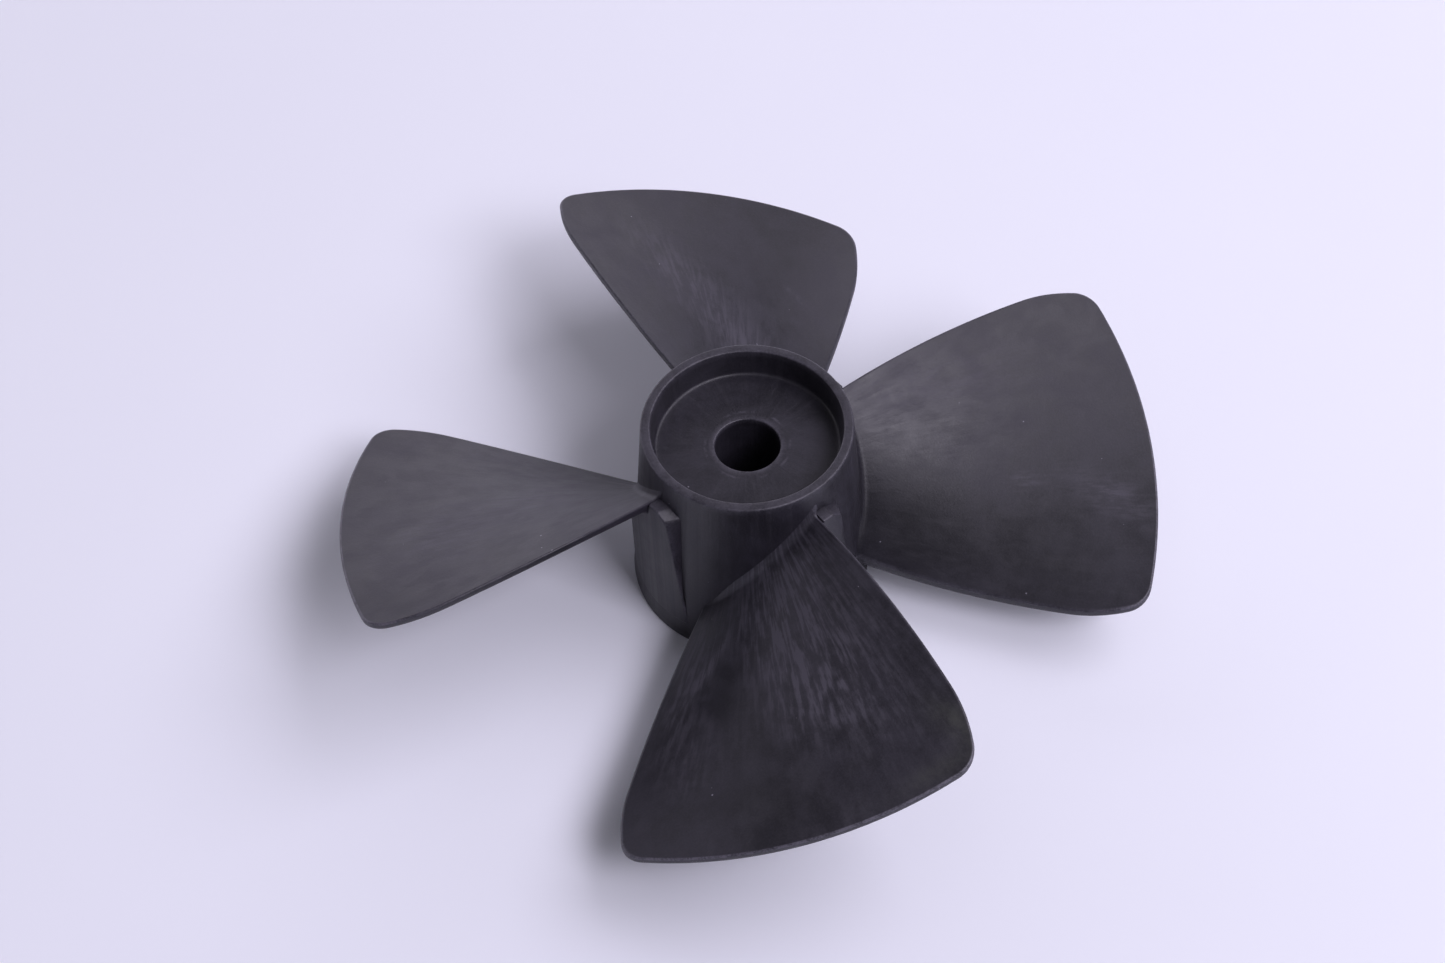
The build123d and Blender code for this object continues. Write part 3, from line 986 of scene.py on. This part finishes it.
def black_plastic():
    """Moulded black nylon: mottled, streaked along the flow, dusty, scuffed and worn at its arrises, with
    painted sheen and painted shade on blade 1.
    """
    graph = Graph("black_plastic")
    place = graph.vector("MULTIPLY", graph.add("TexCoord", {}, output=3), (1 / MM,) * 3)
    wide, fine, radius = flow_places(graph, place)
    noise = plastic_noises(graph, place, wide, fine)
    patchy = graph.total((noise["cloud"], 1.0), (noise["mottle"], 0.5))
    flow = graph.total((noise["streak"], 0.7), (noise["thread"], 0.3))
    scuff_sheen_and_shade = graph.attribute("scuff_sheen_and_shade")
    dust_and_sheen = dust_and_sheen_mask(graph, noise, scuff_sheen_and_shade)
    # Negative marks: painted shade on blade 1's low side, darker patches elsewhere.
    dark_patch_and_shade = graph.math("MULTIPLY", graph.math("MINIMUM", scuff_sheen_and_shade, 0.0), -1.0)

    base = moulded_colour(graph, noise, patchy, flow)
    # Scuff colour, also blade 1's painted sheen, then the darker patches, also blade 1's painted shade.
    base = graph.blend(graph.math("MINIMUM", dust_and_sheen, 0.9), base, PLASTIC_SCUFF_AND_SHEEN)
    base = graph.blend(graph.math("MINIMUM", dark_patch_and_shade, 0.8), base, PLASTIC_DARK_PATCH_AND_SHADE)
    broken_grime = graph.band(noise["mottle"], 0.35, 0.65, 0.35, 1.0)
    grime = graph.math("MULTIPLY", graph.attribute("grime"), broken_grime)
    base = graph.blend(grime, base, PLASTIC_GRIME)
    base = graph.blend(washer_mark(graph, noise, radius), base, PLASTIC_WORN)
    base = graph.blend(worn_arris(graph, noise), base, PLASTIC_WORN)
    large = specks(graph, place, *LARGE_SPECKS)
    small = specks(graph, place, *SMALL_SPECKS)
    dots = graph.math("MULTIPLY", graph.math("MAXIMUM", large, small), SPECK_STRENGTH)
    graph.put(graph.shader.inputs["Base Color"], graph.blend(dots, base, PLASTIC_SPECK))

    rough = graph.band(patchy, 0.5, 1.0, ROUGHNESS_LOW, ROUGHNESS_HIGH)
    streaked = graph.band(flow, 0.4, 0.7, -0.04, 0.07)
    rough = graph.total((rough, 1.0), (streaked, 1.0), (dust_and_sheen, 0.12), (dark_patch_and_shade, -0.05))
    graph.put(graph.shader.inputs["Roughness"], rough)

    height = graph.total(*[(noise[name], weight) for name, weight in BUMP_WEIGHTS.items()])
    values = {"Height": height, "Strength": BUMP_STRENGTH, "Distance": BUMP_DEPTH * MM}
    graph.put(graph.shader.inputs["Normal"], graph.add("Bump", values))
    graph.shader.inputs["IOR"].default_value = PLASTIC_IOR
    return graph.material


def paper():
    """Plain pale floor with the faintest cloudiness."""
    graph = Graph("paper")
    place = graph.add("TexCoord", {}, output=3)
    cloud = graph.noise(place, PAPER_CLOUD_SIZE, 3.0, 0.5)
    graph.put(graph.shader.inputs["Base Color"], graph.blend(cloud, PAPER_SHADE, PAPER_LIGHT))
    graph.shader.inputs["Roughness"].default_value = PAPER_ROUGHNESS
    return graph.material


plastic = black_plastic()
for piece in pieces:
    piece.data.materials.append(plastic)
for node in frame["nodes"].values():
    node.data.materials.clear()
    node.data.materials.append(plastic)

# ---------------------------------------------------------------- floor, lights and camera
bpy.ops.mesh.primitive_plane_add(size=FLOOR_SIZE)
floor = bpy.context.object
floor.name = "floor"
floor.data.materials.append(paper())


def sky():
    """Faint even light from all round."""
    world = bpy.data.worlds.new("studio")
    bpy.context.scene.world = world
    world.use_nodes = True
    background = world.node_tree.nodes["Background"]
    background.inputs["Color"].default_value = SKY_COLOUR
    background.inputs["Strength"].default_value = SKY_STRENGTH


def soft_light(name, azimuth, elevation, distance, wide, tall, power):
    """A rectangular area light aimed at the hub, placed by its direction from there."""
    lamp = bpy.data.objects.new(name, bpy.data.lights.new(name, "AREA"))
    lamp.data.shape = "RECTANGLE"
    lamp.data.size = wide
    lamp.data.size_y = tall
    lamp.data.energy = power
    lamp.data.color = LAMP_COLOUR
    turn, rise = radians(azimuth - SPIN), radians(elevation)
    away = Vector((cos(turn) * cos(rise), sin(turn) * cos(rise), sin(rise)))
    lamp.location = away * distance
    lamp.rotation_euler = away.to_track_quat("Z", "Y").to_euler()
    bpy.context.scene.collection.objects.link(lamp)


def place_camera():
    """The camera at its distance from the rim's centre, turned by its small pitch, yaw and roll."""
    azimuth = radians(-SPIN)
    rise = radians(ELEVATION)
    level = Vector((-sin(azimuth), cos(azimuth), 0))
    out = Vector((0, 0, sin(rise))) - level * cos(rise)
    steep = rise + PITCH
    forward = level * cos(steep) - Vector((0, 0, sin(steep)))
    upward = level * sin(steep) + Vector((0, 0, cos(steep)))
    right = Vector((cos(azimuth), sin(azimuth), 0))
    forward, right = forward * cos(YAW) + right * sin(YAW), right * cos(YAW) - forward * sin(YAW)
    right, upward = right * cos(ROLL) + upward * sin(ROLL), upward * cos(ROLL) - right * sin(ROLL)
    data = bpy.data.cameras.new("camera")
    data.sensor_width = SENSOR_WIDTH
    data.lens = LENS
    data.clip_start = CLIP_START
    camera = bpy.data.objects.new("camera", data)
    matrix = Matrix((right, upward, -forward)).transposed().to_4x4()
    matrix.translation = (Vector((0, 0, HUB_HEIGHT)) + out * DISTANCE) * MM
    camera.matrix_world = matrix
    bpy.context.scene.collection.objects.link(camera)
    bpy.context.scene.camera = camera


# The plain view transform keeps the pale floor pale.
bpy.context.scene.view_settings.view_transform = "Standard"
sky()
for light in LIGHTS:
    soft_light(*light)
place_camera()
